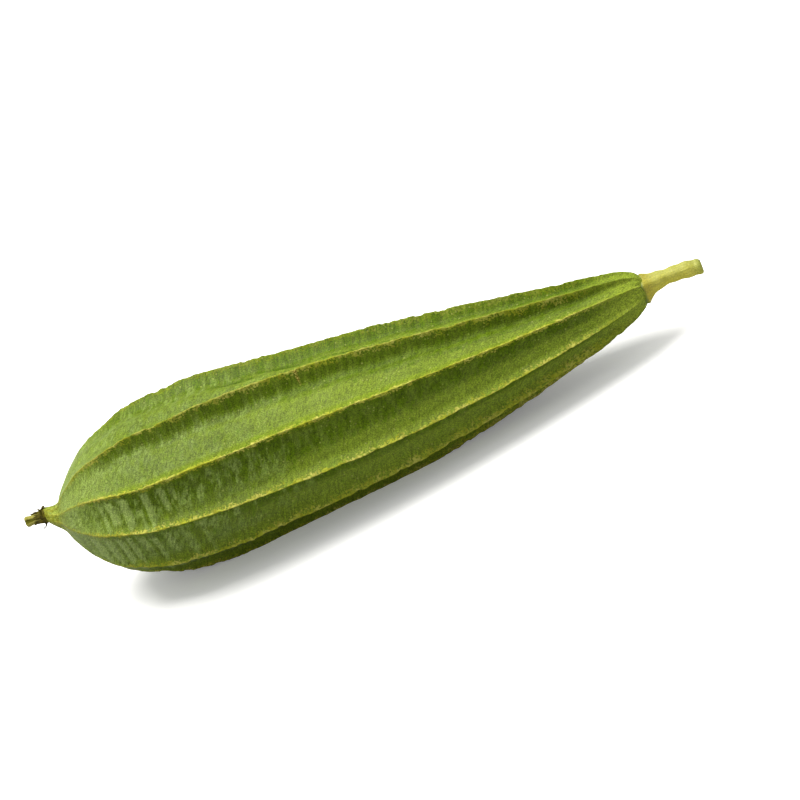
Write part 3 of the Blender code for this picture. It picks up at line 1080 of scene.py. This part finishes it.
def make_lobes():
    mesh = bmesh.new()
    for index in range(len(LOBES)):
        corners = [[mesh.verts.new(p) for p in row] for row in lobe_surface(index).tolist()]
        for near, far in zip(corners, corners[1:]):
            for i in range(len(near) - 1):
                mesh.faces.new((near[i], near[i + 1], far[i + 1], far[i]))
    shape = bpy.data.meshes.new("calyx_lobes")
    mesh.to_mesh(shape)
    mesh.free()
    shape.shade_smooth()
    lobes = placed("calyx_lobes", shape)
    thick = lobes.modifiers.new("blade_thickness", "SOLIDIFY")
    thick.thickness = BLADE_THICKNESS
    soft = lobes.modifiers.new("soft_edges", "SUBSURF")
    soft.levels = soft.render_levels = 1
    return lobes


def make_threads():
    draw = random.Random(8)
    curve = bpy.data.curves.new("old_filaments", "CURVE")
    curve.dimensions = "3D"
    curve.bevel_depth = THREAD_RADIUS
    curve.bevel_resolution = 2
    curve.use_fill_caps = True
    for _ in range(THREADS):
        turn = draw.uniform(0, math.tau)
        length = draw.uniform(0.003, 0.0055)
        along = np.arange(THREAD_POINTS) / (THREAD_POINTS - 1)
        out = 0.0015 + length * along * 0.5
        spin = turn + 0.5 * np.sin(3 * along + turn) * along
        back = -REMNANT_LENGTH * 0.35 - length * 0.7 * along**2
        points = np.stack([back, out * np.cos(spin), out * np.sin(spin)], axis=-1)
        points = turned(points + axis_points(0.0)) + FRUIT_PLACE
        spline = curve.splines.new("POLY")
        spline.points.add(THREAD_POINTS - 1)
        for knot, point, share in zip(spline.points, points, along):
            knot.co = (*point, 1)
            knot.radius = 1.0 - 0.6 * share  # thinner towards the tip
    return placed("old_filaments", curve)


stub_rings, stub_split = stub_surface()
style_stub = sheathed("style_stub", stub_rings)
mark(style_stub, "split", stub_split)
style_stub.data.materials.append(stub_finish())
calyx_collar = sheathed("calyx_collar", collar_surface())
calyx_lobes = make_lobes()
old_filaments = make_threads()
for piece, finish_name, paleness in (
    (calyx_collar, "dry_collar", 0.6),
    (calyx_lobes, "dry_calyx", 0.5),
    (old_filaments, "dry_thread", 0.3),
):
    piece.data.materials.append(dry_finish(finish_name, paleness))
for piece in (style_stub, calyx_collar, calyx_lobes, old_filaments):
    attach(piece, "root")
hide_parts("flower_remnant")

# ---------------------------------------------------------------------------------------------
# Table, light and camera: a plain white table that runs out of sight, one soft light high up
# behind the gourd, and pale surroundings that fill the shade.

TABLE_SIZE = 6.0
TABLE_PALE = (0.86, 0.86, 0.86, 1)
TABLE_PALER = (0.88, 0.88, 0.88, 1)
TABLE_BOUNCE = (0.46, 0.46, 0.46, 1)  # the light that it throws back up at the gourd
TABLE_GLOW = 0.18  # painted light: a glow that only the camera sees, which lightens the table's own shade
KEY_SIZE = 1.10
KEY_POWER = 36.8
KEY_COLOUR = (1.0, 0.985, 0.955)
KEY_PLACE = Vector((-0.30, 0.13, 1.50))
OVERHEAD = 1.05  # strength of the surroundings straight up
HORIZON = 0.30
ROOM_SHOWN = 0.92  # how bright the surroundings look where the table ends
CAMERA_AZIMUTH = math.radians(12)
CAMERA_ELEVATION = math.radians(30.2)
CAMERA_ROLL = math.radians(31.1)
CAMERA_DISTANCE = 1.15
CAMERA_LENS = 134.3
CAMERA_AIM = Vector((0.01385, 0.0, 0.0259))


def make_table():
    shape = bmesh.new()
    bmesh.ops.create_grid(shape, x_segments=24, y_segments=24, size=TABLE_SIZE / 2)
    mesh = bpy.data.meshes.new("table_top")
    shape.to_mesh(mesh)
    shape.free()
    table = placed("table_top", mesh)
    finish, tree, surface = new_finish("white_table")
    place = add(tree, "TexCoord").outputs["Object"]
    pale = tint(tree, mottled(tree, place, 0.05, 0.0), TABLE_PALE, TABLE_PALER)
    seen = add(tree, "LightPath").outputs["Is Camera Ray"]
    tree.links.new(tint(tree, seen, TABLE_BOUNCE, pale), surface.inputs["Base Color"])
    # painted light: the table glows to the camera alone, lightening its shadow
    tree.links.new(tint(tree, seen, (0, 0, 0, 1), pale), surface.inputs["Emission Color"])
    surface.inputs["Emission Strength"].default_value = TABLE_GLOW
    surface.inputs["Roughness"].default_value = 0.9
    surface.inputs["Specular IOR Level"].default_value = 0.1
    table.data.materials.append(finish)
    return table


def make_key():
    light = bpy.data.lights.new("key", "AREA")
    light.shape = "DISK"
    light.size = KEY_SIZE
    light.energy = KEY_POWER
    light.color = KEY_COLOUR
    key = placed("key", light)
    key.location = KEY_PLACE
    key.rotation_mode = "QUATERNION"
    key.rotation_quaternion = (-KEY_PLACE).to_track_quat("-Z", "Y")


def make_surroundings():
    world = bpy.data.worlds.new("pale_room")
    world.use_nodes = True
    tree = world.node_tree
    facing = add(tree, "TexCoord").outputs["Generated"]
    height = add(tree, "SeparateXYZ", {"Vector": facing}).outputs["Z"]
    strength = step_up(tree, height, -0.1, 1.0, HORIZON, OVERHEAD)
    seen = add(tree, "LightPath").outputs["Is Camera Ray"]
    shown = times(tree, combine(tree, "SUBTRACT", ROOM_SHOWN, strength), seen)
    tree.links.new(combine(tree, "ADD", strength, shown), tree.nodes["Background"].inputs["Strength"])
    tree.nodes["Background"].inputs["Color"].default_value = (1.0, 1.0, 1.0, 1)
    bpy.context.scene.world = world


def make_camera():
    level = math.cos(CAMERA_ELEVATION)
    across = (math.sin(CAMERA_AZIMUTH) * level, -math.cos(CAMERA_AZIMUTH) * level)
    back = Vector((*across, math.sin(CAMERA_ELEVATION)))
    lens = bpy.data.cameras.new("camera")
    lens.lens = CAMERA_LENS
    lens.clip_start = 0.05
    lens.clip_end = 20
    camera = placed("camera", lens)
    camera.location = CAMERA_AIM + back * CAMERA_DISTANCE
    camera.rotation_mode = "QUATERNION"
    facing = (-back).to_track_quat("-Z", "Y")
    camera.rotation_quaternion = facing @ Quaternion((0, 0, 1), -CAMERA_ROLL)
    bpy.context.scene.camera = camera


make_table()
make_key()
make_surroundings()
make_camera()
bpy.context.scene.view_settings.view_transform = "Standard"
